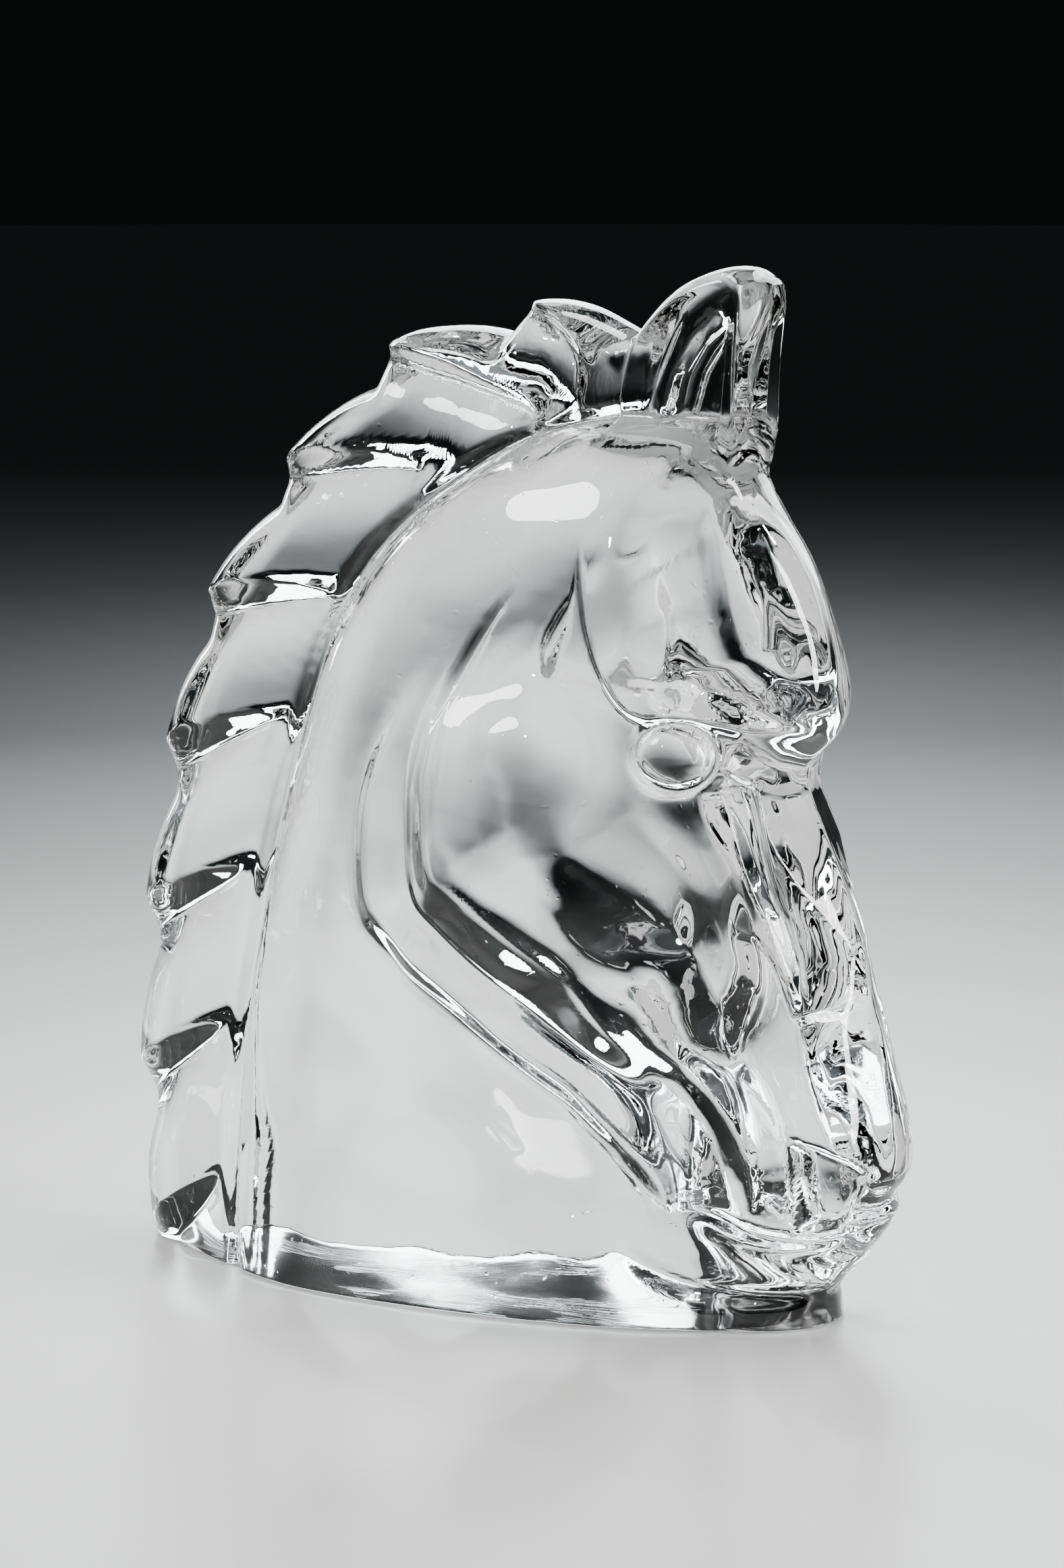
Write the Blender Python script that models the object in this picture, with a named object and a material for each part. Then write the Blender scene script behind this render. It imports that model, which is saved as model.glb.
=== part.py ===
"""A cast crystal horse head: one solid piece of clear glass that stands on its flat underside.

The head looks along +X, its mirror plane is Y = 0 and its underside is Z = 0. The form is a
relief drawn on the mirror plane: the glass is as wide, to each side, as half_width says at that
place of the profile. Places and widths are shares of the height, in units of 1/140 of it.
"""

import bmesh
import bpy
import numpy as np

HEIGHT = 0.140  # underside to ear tip
LENGTH = 0.1205  # mane to nose
WIDTH = 0.047  # over the cheeks
FOOT_CHAMFER = 0.0007  # polished bevel round the underside

RINGS = 52  # rows of faces from the cheek's middle to the profile
SPOKES_TRIED = 2  # the rows are spaced on every second spoke
TRIANGLES = 8600
CHEEK = np.array([12.0, 62.0])  # middle of the rows
GLASS_COLOUR = (0.93, 0.97, 0.96, 1.0)

# The profile, from the foot's front over chin, lips, nose, brow and forehead to the ear
FACE = [
    (51.4, 0.0), (51.3, 4.6), (55.6, 9.4), (59.3, 14.8), (59.0, 17.6), (61.0, 21.0), (60.8, 27.0), (58.4, 37.0),
    (56.9, 44.0), (55.6, 51.3), (53.0, 58.2), (49.6, 65.5), (46.6, 73.6), (50.4, 79.0), (51.8, 84.0), (50.4, 91.0),
    (46.4, 101.0), (41.8, 108.0), (38.8, 113.0),
]
EAR = [
    (38.8, 113.0), (39.0, 126.0), (40.0, 136.2), (38.8, 139.0), (35.4, 140.0), (28.4, 137.3), (21.4, 130.8),
]
# Through the tips of the mane's locks, from the ear to the back of the foot
CREST = [
    (21.4, 130.8), (13.5, 134.8), (5.0, 135.2), (-8.0, 132.8), (-19.6, 127.7), (-35.2, 112.2), (-49.4, 91.2),
    (-56.5, 68.3), (-60.2, 45.3), (-61.2, 22.3), (-59.2, 0.0),
]

# The mane: locks that repeat along the crest, each ending in a tip over the next one
FIRST_TIP = 16.8
LOCK_PITCH = 23.6
NOTCH_DEPTH = (5.0, 2.2)  # at the top lock and at the foot, as the three pairs below
NOTCH_SHARE = (0.17, 0.30)  # of a lock's pitch, from its tip to the notch under it
GROOVE_REACH = (14.0, 21.0)  # from the crest inward
GROOVE_SLANT = (1.4, 0.36)  # back along the crest, by how far it has come in
GROOVE_DEPTH = 3.0
MANE_EDGE = 8.4
MANE_SLANT = (0.33, 0.06)  # at the foot and at the top
EAR_SIDE = 6.8
NECK_STEP = 1.8
NECK_GROOVE = 1.6  # along the foot of the neck's step
NECK_FALL = (3.4, 6.5)  # how far the neck's side rounds off toward the mane, at the foot and at the top
NECK_ROUND = 16.0

# Carved lines: walking along one, the glass on the left stands proud of the glass on the right
NECK_EDGE = [
    (52.0, 113.0), (38.2, 116.8), (24.8, 118.4), (15.3, 117.4), (5.0, 113.8), (-9.6, 104.6), (-18.9, 94.7),
    (-25.3, 80.0), (-30.2, 62.7), (-33.2, 44.0), (-34.6, 26.0), (-34.8, 10.0), (-34.0, -3.0),
]
JAW_OUTER = [
    (1.8, 92.4), (-5.2, 83.5), (-10.6, 74.6), (-13.1, 66.5), (-13.6, 59.0), (-12.9, 53.4), (-10.4, 50.0),
    (-2.3, 44.3), (8.1, 36.8), (19.8, 30.1), (26.7, 24.5), (31.2, 18.2), (31.6, 11.1),
]
JAW_OUTER_WALL = [(0.0, 1.4), (0.2, 3.6), (0.45, 4.2), (0.6, 4.4), (1.0, 3.8)]
JAW_OUTER_STEP = 3.7
JAW_OUTER_REACH = 10.0
JAW_INNER = [
    (10.6, 97.4), (5.3, 90.5), (0.2, 82.8), (-2.2, 73.2), (-2.2, 63.0), (-0.6, 57.2), (3.0, 54.2), (9.4, 49.6),
    (18.2, 43.2), (26.4, 36.6), (31.4, 31.4),
]
JAW_INNER_WALL = [(0.0, 0.8), (0.15, 2.4), (0.3, 5.0), (0.45, 5.2), (0.6, 7.0), (0.8, 7.4), (1.0, 3.0)]
JAW_INNER_STEP = 4.4
JAW_INNER_REACH = 13.0
BROW_EDGE = [
    (20.4, 106.5), (20.8, 99.4), (22.0, 92.4), (24.6, 86.4), (28.3, 82.2), (32.9, 80.9), (38.5, 81.3), (44.2, 80.2),
    (49.3, 82.6), (53.0, 85.0),
]
BROW_WALL = [(0.0, 0.8), (1.0, 0.8)]
BROW_STEP = 1.4
BROW_REACH = 8.0
EAR_BACK = [(26.0, 135.5), (22.8, 130.8), (20.8, 124.0), (20.4, 114.0)]
MOUTH = [(35.7, 15.9), (39.5, 15.4), (43.7, 13.3), (49.3, 12.6), (55.5, 13.4), (58.1, 15.6), (60.9, 18.0)]
FOOT_EDGE = [(26.0, 12.5), (31.0, 7.6), (38.0, 5.2), (46.0, 4.7), (53.0, 4.6)]

# Leaf-shaped cuts, each with its half width and depth: beside the nose, on the jaw, in the ear, above the eye
FLUTE = [(41.6, 74.4), (44.3, 65.8), (46.6, 58.7), (49.9, 50.9), (51.7, 45.0)]
FLUTE_CUT = (1.5, 2.6)
JAW_FLUTE = [(10.8, 97.6), (6.6, 92.2), (2.8, 86.0), (-0.6, 78.6)]
JAW_FLUTE_CUT = (1.4, 1.8)
EAR_FLUTE = [(25.8, 121.4), (26.8, 126.5), (28.8, 130.8), (31.4, 134.2)]
EAR_FLUTE_CUT = (1.1, 1.1)
BROW_FLUTE = [(33.2, 98.0), (33.8, 92.0), (33.6, 86.0), (35.4, 82.6)]
BROW_FLUTE_CUT = (1.9, 1.7)

# Hollows: each is cut in inside its corners
NOSTRIL = [(50.2, 13.6), (56.6, 14.2), (61.0, 22.8), (58.3, 25.2), (50.0, 27.2)]
NOSTRIL_DEPTH = 4.0
NOSTRIL_WALL = 1.9
SOCKET = [(34.4, 82.6), (44.6, 80.8), (55.0, 86.2), (56.0, 92.8), (38.0, 95.0), (34.8, 92.0)]
SOCKET_DEPTH = 2.4
SOCKET_WALL = 4.5
EAR_HOLLOW = [(27.2, 119.2), (36.6, 118.3), (37.2, 126.0), (38.0, 133.2), (36.4, 134.0), (32.6, 131.0), (29.4, 126.2)]
EAR_HOLLOW_DEPTH = 2.5
EAR_HOLLOW_WALL = 1.1

EYE = (35.2, 76.9)
EYE_LENGTH = 5.0
EYE_HEIGHT = 4.1
EYE_BULGE = 2.4
EYE_GROOVE = 1.3

# Half widths of neck and head that the rest swells between: along, up, half width
FOOT_WIDTH = 22.7
FOOT_MIDDLE = -12.0
FOOT_FRONT = 51.5
FOOT_BACK = -46.0
WIDTHS = [
    (-33, 12, 16.6), (-33, 30, 14.6), (-21, 34, 19.8), (0, 22, 21.2), (-32, 50, 12.8), (-29, 66, 11.8),
    (-19, 56, 18.4), (-25, 82, 11.6), (-13, 78, 17.4), (-14, 97, 12.2), (-4, 92, 16.8), (0, 109, 12.6),
    (6, 101, 15.8), (20, 112, 13.6), (36, 110, 12.4), (-4, 72, 20.2), (12, 70, 22.8),
    (24, 62, 20.8), (8, 54, 21.6), (4, 92, 18.4), (24, 96, 17.4), (38, 98, 14.6), (32, 86, 18.0), (46, 88, 13.2),
    (34, 66, 17.0), (44, 62, 13.0), (26, 46, 17.6), (42, 46, 13.4), (50, 44, 11.4), (12, 38, 19.0),
    (36, 30, 13.6), (50, 30, 11.4), (22, 22, 18.4), (38, 18, 12.8), (52, 12, 9.6), (42, 9, 10.8),
]
WIDTH_SPREAD = 6.5
EDGE_BLEND = 0.9

# The face's front by its height: edge radius, half width and slope of the front plane, then of the side planes
EDGE_OF_FACE = np.array([
    (0, 8.5, 20.0, 5.0, 40.0, 5.0), (5, 8.0, 20.0, 5.0, 40.0, 5.0), (10, 5.0, 5.5, 1.6, 40.0, 5.0),
    (20, 4.5, 6.5, 1.3, 40.0, 5.0), (32, 4.5, 6.0, 1.05, 40.0, 5.0), (38, 3.0, 4.2, 1.3, 12.0, 2.0),
    (44, 1.6, 1.9, 1.9, 1.9, 1.65), (50, 1.2, 0.8, 2.0, 0.6, 1.7), (58, 1.2, 0.8, 2.0, 2.4, 1.35),
    (65.5, 1.2, 0.8, 2.8, 5.6, 1.2), (73, 1.2, 0.8, 2.9, 6.3, 1.2), (77, 2.0, 3.0, 2.0, 12.0, 1.2),
    (80, 3.5, 5.0, 0.9, 40.0, 2.0), (92, 3.5, 4.8, 0.62, 40.0, 2.0), (112, 3.5, 5.5, 0.75, 40.0, 2.0),
]).T

# Radius of the profile's edge, by the way along the ear and by the height on the mane
EAR_ROUND = [(0.0, 2.0), (4.0, 0.8), (22.0, 0.9), (30.0, 2.2), (46.0, 2.4)]
MANE_ROUND = [(0.0, 8.0), (22.0, 8.0), (45.0, 6.5), (70.0, 5.0), (110.0, 4.0)]


def ramp(value):
    """0 below 0, 1 above 1 and a smooth rise between."""
    value = np.clip(value, 0.0, 1.0)
    return value * value * (3.0 - 2.0 * value)


def smooth_line(points, steps=8):
    """A polyline along the Catmull-Rom curve through the points."""
    knots = np.array(points, float)
    knots = np.vstack([2 * knots[0] - knots[1], knots, 2 * knots[-1] - knots[-2]])
    line = []
    for before, start, end, after in zip(knots, knots[1:], knots[2:], knots[3:]):
        for t in np.arange(steps) / steps:
            line.append(0.5 * (2 * start + (end - before) * t
                               + (2 * before - 5 * start + 4 * end - after) * t ** 2
                               + (3 * start - before - 3 * end + after) * t ** 3))
    line.append(knots[-2])
    return np.array(line)


def soft_least(one, other, blend):
    """The lesser of two, with the corner between them rounded."""
    near = np.clip(1.0 - np.abs(one - other) / blend, 0.0, 1.0)
    return np.minimum(one, other) - 0.25 * blend * near ** 2


def lengths_along(line):
    steps = np.hypot(*np.diff(line, axis=0).T)
    return np.concatenate([[0.0], np.cumsum(steps)])


def beside(places, line):
    """Distance of each place to a line, positive on its left, and the length along the line."""
    start = line[:-1]
    step = np.diff(line, axis=0)
    size = np.maximum((step ** 2).sum(1), 1e-12)
    before = lengths_along(line)[:-1]
    distance = np.empty(len(places))
    along = np.empty(len(places))
    for first in range(0, len(places), 8192):
        block = slice(first, first + 8192)
        off = places[block, None, :] - start
        share = np.clip((off * step).sum(2) / size, 0.0, 1.0)
        gap = off - share[:, :, None] * step
        away = (gap ** 2).sum(2)
        nearest = away.argmin(1)
        rows = np.arange(len(nearest))
        side = step[nearest, 0] * off[rows, nearest, 1] - step[nearest, 1] * off[rows, nearest, 0]
        distance[block] = np.sqrt(away[rows, nearest]) * np.where(side < 0, -1.0, 1.0)
        along[block] = before[nearest] + share[rows, nearest] * np.sqrt(size[nearest])
    return distance, along


def lock_fall(share, drop, ease):
    """How far a lock has fallen back: 0 at its tip, 1 at the notch, easing out to the next tip."""
    share = share % 1.0
    back = np.clip((1.0 - share) / (1.0 - drop), 0.0, 1.0) ** ease
    return np.where(share < drop, share / drop, back)


def down_the_mane(along, ends):
    """A size that eases from its value at the top lock to its value at the foot."""
    share = np.exp(-np.clip(along - FIRST_TIP, 0.0, None) / (2.4 * LOCK_PITCH))
    return ends[1] + (ends[0] - ends[1]) * share


def mane_line():
    """The mane's profile: the crest, notched under each lock's tip."""
    crest = smooth_line(CREST, 28)
    along = lengths_along(crest)
    step = np.gradient(crest, axis=0)
    inward = np.stack([-step[:, 1], step[:, 0]], 1) / np.hypot(*step.T)[:, None]
    first = ramp(along / FIRST_TIP)
    last = 1.0 - ramp((along - FIRST_TIP - 6.3 * LOCK_PITCH) / (0.5 * LOCK_PITCH))
    fall = lock_fall((along - FIRST_TIP) / LOCK_PITCH, down_the_mane(along, NOTCH_SHARE), 1.8)
    line = crest + inward * (down_the_mane(along, NOTCH_DEPTH) * fall * first * last)[:, None]
    return np.maximum(line, (-1e9, 0.0))


def profile():
    """The whole profile, with the radius that rounds its edge at each point."""
    face = smooth_line(FACE)
    ear = smooth_line(EAR)
    mane = mane_line()
    face_round = np.interp(face[:, 1], *EDGE_OF_FACE[:2])
    ear_round = np.interp(lengths_along(ear), *zip(*EAR_ROUND))
    mane_round = np.interp(mane[:, 1], *zip(*MANE_ROUND))
    line = np.vstack([face, ear[1:], mane[1:]])
    return line, np.concatenate([face_round, ear_round[1:], mane_round[1:]])


def wedge(places):
    """The face's front: a front plane, and side planes that meet it in a crisp edge."""
    tip = max(point[1] for point in EAR)
    line = smooth_line(FACE + [(FACE[-1][0], 0.5 * (FACE[-1][1] + tip)), (FACE[-1][0], tip)])
    edge, along = beside(places, line)
    height = np.interp(along, lengths_along(line), line[:, 1])
    bar, slope, side, side_slope = [np.interp(height, *EDGE_OF_FACE[[0, row]]) for row in (2, 3, 4, 5)]
    return np.minimum(bar + slope * np.abs(edge), side + side_slope * np.abs(edge))


def stroke(places, points, fade_in, fade_out):
    """Distance to a carved line, the share of it that is behind, and its strength, which fades at its ends."""
    line = smooth_line(points)
    distance, along = beside(places, line)
    share = along / lengths_along(line)[-1]
    return distance, share, ramp(share / fade_in) * ramp((1.0 - share) / fade_out)


def edge_cut(places, points, wall, jump, reach, fade_in, fade_out):
    """A step along a line, with a wall as wide as given at shares of the line and crisp edges."""
    distance, share, strength = stroke(places, points, fade_in, fade_out)
    half = 0.5 * np.interp(share, *zip(*wall))
    rise = -soft_least(-soft_least(distance, half, EDGE_BLEND), half, EDGE_BLEND) / (2.0 * half)
    return jump * strength * rise * np.exp(-(np.abs(distance) / reach) ** 1.5)


def groove(places, points, depth, width, fade_in, fade_out):
    """A round-bottomed groove along a line."""
    distance, share, strength = stroke(places, points, fade_in, fade_out)
    return -depth * strength * np.exp(-(distance / width) ** 2)


def leaf(places, points, cut, taper_in, taper_out):
    """A scoop with crisp sides along a line, narrowing to a point over those shares of it."""
    half, depth = cut
    distance, share, strength = stroke(places, points, 1.0, 1.0)
    narrow = np.clip(share / taper_in, 0.0, 1.0) ** 0.6 * np.clip((1.0 - share) / taper_out, 0.0, 1.0) ** 0.6
    inside = np.clip(1.0 - (distance / np.maximum(half * narrow, 1e-3)) ** 2, 0.0, 1.0)
    return -depth * narrow * inside


def hollow(places, corners, depth, wall, round_bottom):
    """Glass taken away inside corners that run anticlockwise, with straight or with hollowed walls."""
    inside = np.full(len(places), 1e9)
    for start, end in zip(corners, corners[1:] + corners[:1]):
        step = np.subtract(end, start)
        off = places - start
        inside = np.minimum(inside, (step[0] * off[:, 1] - step[1] * off[:, 0]) / np.hypot(*step))
    down = np.clip(inside / wall, 0.0, 1.0)
    return -depth * (1.0 - (1.0 - down) ** 2 if round_bottom else down)


def eye_dome(places):
    """The eyeball with the fine groove round it."""
    x, z = (places - EYE).T
    share = np.hypot(x / EYE_LENGTH, z / EYE_HEIGHT)
    dome = EYE_BULGE * np.sqrt(np.clip(1.0 - share ** 2, 0.0, 1.0))
    return dome - EYE_GROOVE * np.exp(-((share - 1.08) / 0.13) ** 2)


def foot_plan(x):
    """The half width of the foot: a longer half oval before its middle and a shorter one behind."""
    before = np.clip((x - FOOT_MIDDLE) / (FOOT_FRONT - FOOT_MIDDLE), 0.0, 1.0) ** 2.2
    behind = np.clip((FOOT_MIDDLE - x) / (FOOT_MIDDLE - FOOT_BACK), 0.0, 1.0) ** 2.0
    return FOOT_WIDTH * np.sqrt(1.0 - before - behind)


def neck_fall(places, neck):
    """How far the neck's side has rounded off, by the distance in from its line."""
    full = NECK_FALL[0] + (NECK_FALL[1] - NECK_FALL[0]) * ramp(places[:, 1] / 80.0)
    return full * (1.0 - np.clip(neck / NECK_ROUND, 0.0, 1.0)) ** 2


def swell(places, neck):
    """The smooth body of neck and head, blended from the half widths and rounded off toward the mane."""
    anchors = WIDTHS + [(x, 1.0, foot_plan(x)) for x in range(-32, 50, 9)]
    anchors = np.array(anchors, float)
    anchors[:, 2] += neck_fall(anchors, beside(anchors[:, :2], smooth_line(NECK_EDGE))[0])
    total = np.zeros(len(places))
    weight = np.full(len(places), 1e-9)
    for x, z, width in anchors:
        near = np.exp(-((places[:, 0] - x) ** 2 + (places[:, 1] - z) ** 2) / (2 * WIDTH_SPREAD ** 2))
        total += near * width
        weight += near
    return total / weight - neck_fall(places, neck)


def mane_width(places):
    """The mane's side, with the slanted grooves that part its locks."""
    depth, along = beside(places, smooth_line(CREST))
    depth = np.clip(depth, 0.0, None)
    inner = np.clip(depth / (GROOVE_REACH[1] + (GROOVE_REACH[0] - GROOVE_REACH[1]) * np.exp(-along / LOCK_PITCH)),
                    0.0, 1.0)
    slant = down_the_mane(along, GROOVE_SLANT) * GROOVE_REACH[1]
    place = (along + slant * inner * (1.4 - 0.4 * inner) - FIRST_TIP) / LOCK_PITCH
    drop = 0.03 + (down_the_mane(along, NOTCH_SHARE) - 0.05) * (1.0 - inner ** 2)
    fall = lock_fall(place, drop, 3.2) * (1.0 - inner ** 5) * ramp(along / 14.0)
    slant = MANE_SLANT[0] + (MANE_SLANT[1] - MANE_SLANT[0]) * ramp(places[:, 1] / 80.0)
    slab = MANE_EDGE + slant * depth - 3.0 * (1.0 - ramp(along / 22.0))
    return slab - GROOVE_DEPTH * fall


def ear_width(places):
    """The ear's side: its hollow, and the slim flute between that and the back rim."""
    side = EAR_SIDE + hollow(places, EAR_HOLLOW, EAR_HOLLOW_DEPTH, EAR_HOLLOW_WALL, False)
    return side + leaf(places, EAR_FLUTE, EAR_FLUTE_CUT, 0.4, 0.4)


def core_width(places, neck):
    """Neck and head together, with the lines that are cut into them."""
    width = swell(places, neck)
    width += edge_cut(places, JAW_OUTER, JAW_OUTER_WALL, JAW_OUTER_STEP, JAW_OUTER_REACH, 0.35, 0.08)
    width += edge_cut(places, JAW_INNER, JAW_INNER_WALL, JAW_INNER_STEP, JAW_INNER_REACH, 0.5, 0.12)
    width += edge_cut(places, BROW_EDGE, BROW_WALL, BROW_STEP, BROW_REACH, 0.2, 0.3)
    width += groove(places, BROW_EDGE, 0.5, 0.5, 0.2, 0.6)
    width += groove(places, MOUTH, 1.6, 0.8, 0.25, 0.01)
    width += groove(places, FOOT_EDGE, 1.4, 1.2, 0.3, 0.01)
    width += hollow(places, SOCKET, SOCKET_DEPTH, SOCKET_WALL, True)
    width += leaf(places, JAW_FLUTE, JAW_FLUTE_CUT, 0.6, 0.3)
    width += leaf(places, BROW_FLUTE, BROW_FLUTE_CUT, 0.7, 0.15)
    width += hollow(places, NOSTRIL, NOSTRIL_DEPTH, NOSTRIL_WALL, False)
    return width + eye_dome(places)


def half_width(places):
    """How wide the glass is to each side of the mirror plane at each place of the profile."""
    outline, rounding = profile()
    edge, along = beside(places, outline)
    radius = np.interp(along, lengths_along(outline), rounding)
    neck, _ = beside(places, smooth_line(NECK_EDGE))
    ear, _ = beside(places, smooth_line(EAR_BACK))
    fin = mane_width(places) - NECK_GROOVE * np.exp(-((neck + NECK_STEP) / 1.1) ** 2)
    fin += (ear_width(places) - fin) * ramp(ear / 1.0)
    core = soft_least(core_width(places, neck), wedge(places), 0.8)
    core += leaf(places, FLUTE, FLUTE_CUT, 0.05, 1.0)
    wall = np.maximum(soft_least(neck / NECK_STEP + 1.0, 1.0, 1.0), 0.0)
    step = 0.85 * wall + 0.15 * ramp(neck / 7.0 + 0.45)
    body = fin + (core - fin) * step
    into = np.clip(np.abs(edge) / radius, 0.0, 1.0)
    return np.maximum(body, 0.8) * (1.0 - (1.0 - into) ** 2.2) ** (1.0 / 2.2)


def resample(line, count):
    along = lengths_along(line)
    wanted = np.linspace(0.0, along[-1], count)
    return np.stack([np.interp(wanted, along, line[:, axis]) for axis in (0, 1)], 1)


def rim_line():
    """The rim that the rows of faces end on: profile on three sides of a square, foot on one."""
    outline = profile()[0]
    around = resample(outline, 6 * RINGS + 1)
    under = resample(np.array([around[-1], around[0]]), 2 * RINGS + 1)
    rim = np.vstack([around[:-1], under[:-1]])
    turn = np.unwrap(np.arctan2(*(rim - CHEEK).T[::-1]))
    turn = np.maximum.accumulate(turn + np.arange(len(turn)) * 1e-7)
    reach = np.hypot(*(rim - CHEEK).T)
    return CHEEK + np.stack([np.cos(turn) * reach, np.sin(turn) * reach], 1)


def spread_rows(rim):
    """Shares of the way from the cheek to the rim that space the rows evenly over the relief."""
    fine = np.linspace(0.0, 1.0, 261)
    tried = rim[::SPOKES_TRIED]
    places = CHEEK + (tried - CHEEK)[:, None, :] * fine[None, :, None]
    width = half_width(places.reshape(-1, 2)).reshape(len(tried), len(fine))
    run = np.hypot(*(tried - CHEEK).T)[:, None] * np.diff(fine)
    steps = np.sqrt(run ** 2 + np.diff(width, axis=1) ** 2)
    steps = sum(np.roll(steps, turn, axis=0) for turn in range(-2, 3)) / 5.0
    along = np.concatenate([np.zeros((len(tried), 1)), np.cumsum(steps, axis=1)], axis=1)
    along /= along[:, -1:]
    wanted = np.linspace(0.0, 1.0, RINGS + 1)
    rows = np.stack([np.interp(wanted, line, fine) for line in along])
    low, rest = np.divmod(np.arange(len(rim)), SPOKES_TRIED)
    part = (rest / SPOKES_TRIED)[:, None]
    return rows[low] * (1.0 - part) + rows[(low + 1) % len(rows)] * part


def relief_side(bm):
    """One side of the glass: a square grid laid over the profile and raised to its half width."""
    outline = profile()[0]
    bmesh.ops.create_grid(bm, x_segments=2 * RINGS, y_segments=2 * RINGS, size=RINGS)
    bm.verts.ensure_lookup_table()
    flat = np.array([vert.co[:2] for vert in bm.verts])
    ring = np.abs(flat).max(1).round().astype(int)
    size = np.maximum(ring, 1)
    u, v = flat[:, 0] / size, flat[:, 1] / size
    side = np.select([u >= 1 - 1e-6, v >= 1 - 1e-6, u <= -1 + 1e-6], [1 + v, 3 - u, 5 - v], 7 + u)
    spoke = side * RINGS % (8 * RINGS)
    rim = rim_line()
    rows = spread_rows(rim)
    low = np.floor(spoke).astype(int) % len(rim)
    high = (low + 1) % len(rim)
    part = (spoke - np.floor(spoke))[:, None]
    toward = (rim[low] * (1 - part) + rim[high] * part) - CHEEK
    reach = rows[low, ring] * (1 - part[:, 0]) + rows[high, ring] * part[:, 0]
    places = CHEEK + toward * reach[:, None]
    width = half_width(places)
    width[(ring == RINGS) & (spoke <= 6 * RINGS)] = 0.0
    low_x, high_x = outline[:, 0].min(), outline[:, 0].max()
    along = (places[:, 0] - 0.5 * (low_x + high_x)) * LENGTH / (high_x - low_x)
    across = width * 0.5 * WIDTH / width.max()
    up = places[:, 1] * HEIGHT / outline[:, 1].max()
    for vert, *place in zip(bm.verts, along, across, up):
        vert.co = place


def close_underside(bm):
    """The flat underside with its polished bevel."""
    rim = [edge for edge in bm.edges if edge.is_boundary]
    underside = bmesh.ops.contextual_create(bm, geom=rim)["faces"][0]
    bmesh.ops.recalc_face_normals(bm, faces=bm.faces)
    bmesh.ops.bevel(bm, geom=underside.edges[:], offset=FOOT_CHAMFER, offset_type="OFFSET", segments=1,
                    profile=0.5, affect="EDGES", clamp_overlap=True, material=-1)
    bmesh.ops.triangulate(bm, faces=[face for face in bm.faces if len(face.verts) > 4])


def glass_material():
    material = bpy.data.materials.new("clear_crystal")
    material.use_nodes = True
    shader = material.node_tree.nodes["Principled BSDF"]
    shader.inputs["Base Color"].default_value = GLASS_COLOUR
    shader.inputs["Roughness"].default_value = 0.02
    shader.inputs["Metallic"].default_value = 0.0
    shader.inputs["IOR"].default_value = 1.545
    shader.inputs["Transmission Weight"].default_value = 1.0
    return material


def horse_head():
    bm = bmesh.new()
    relief_side(bm)
    bmesh.ops.mirror(bm, geom=bm.verts[:] + bm.edges[:] + bm.faces[:], axis="Y", merge_dist=1e-6)
    bmesh.ops.remove_doubles(bm, verts=bm.verts, dist=1e-6)
    close_underside(bm)
    mesh = bpy.data.meshes.new("horse_head")
    bm.to_mesh(mesh)
    bm.free()
    mesh.shade_smooth()
    mesh.materials.append(glass_material())
    statue = bpy.data.objects.new("horse_head", mesh)
    thin = statue.modifiers.new("facets", "DECIMATE")
    thin.ratio = TRIANGLES / sum(len(face.vertices) - 2 for face in mesh.polygons)
    thin.use_symmetry = True
    thin.symmetry_axis = "Y"
    return statue


def main():
    for thing in list(bpy.data.objects):
        bpy.data.objects.remove(thing)
    collection = bpy.data.collections.new("crystal_horse_head")
    bpy.context.scene.collection.children.link(collection)
    collection.objects.link(horse_head())


main()
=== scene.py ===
"""A cast crystal horse head in a studio: the fine glass surface, its polish and its wear.

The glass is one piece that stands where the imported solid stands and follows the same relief: it
is as wide, to each side of Y = 0, as half_width says at that place of the profile. The relief's
places and widths are drawn 140 high and then scaled to the sizes in metres. The head looks along
+X, and its mirror plane is Y = 0.
"""
import math

import bmesh
import bpy
import numpy as np
from mathutils import Matrix, Vector


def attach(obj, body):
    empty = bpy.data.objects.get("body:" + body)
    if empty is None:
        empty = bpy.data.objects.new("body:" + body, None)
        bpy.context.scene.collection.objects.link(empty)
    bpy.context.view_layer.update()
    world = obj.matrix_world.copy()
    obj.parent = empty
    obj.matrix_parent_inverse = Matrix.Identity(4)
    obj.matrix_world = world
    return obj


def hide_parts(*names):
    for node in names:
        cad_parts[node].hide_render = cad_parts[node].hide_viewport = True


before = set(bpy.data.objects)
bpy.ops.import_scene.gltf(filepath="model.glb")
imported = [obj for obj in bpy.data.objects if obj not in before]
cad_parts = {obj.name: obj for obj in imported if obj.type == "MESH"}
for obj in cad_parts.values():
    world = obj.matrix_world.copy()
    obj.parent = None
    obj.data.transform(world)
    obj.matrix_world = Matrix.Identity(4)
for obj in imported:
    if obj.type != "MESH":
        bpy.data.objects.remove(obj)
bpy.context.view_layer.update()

# The piece, in metres
HEIGHT = 0.140
LENGTH = 0.1205
WIDTH = 0.047
FOOT_CHAMFER = 0.0007
FOOT_CHAMFER_ROWS = 3
JOINED = 1e-6  # verts of the two sides that are this near are one

# The grid laid over the relief: its rings run round the cheek, out to the profile
RINGS = 108
SPOKES_TRIED = 4  # every how many spokes the rows are measured
FINE_ROWS = 261  # places along a spoke where the relief is measured
BLOCK = 8192  # places measured against a line at a time
CHEEK = np.array([12.0, 62.0])

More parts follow.
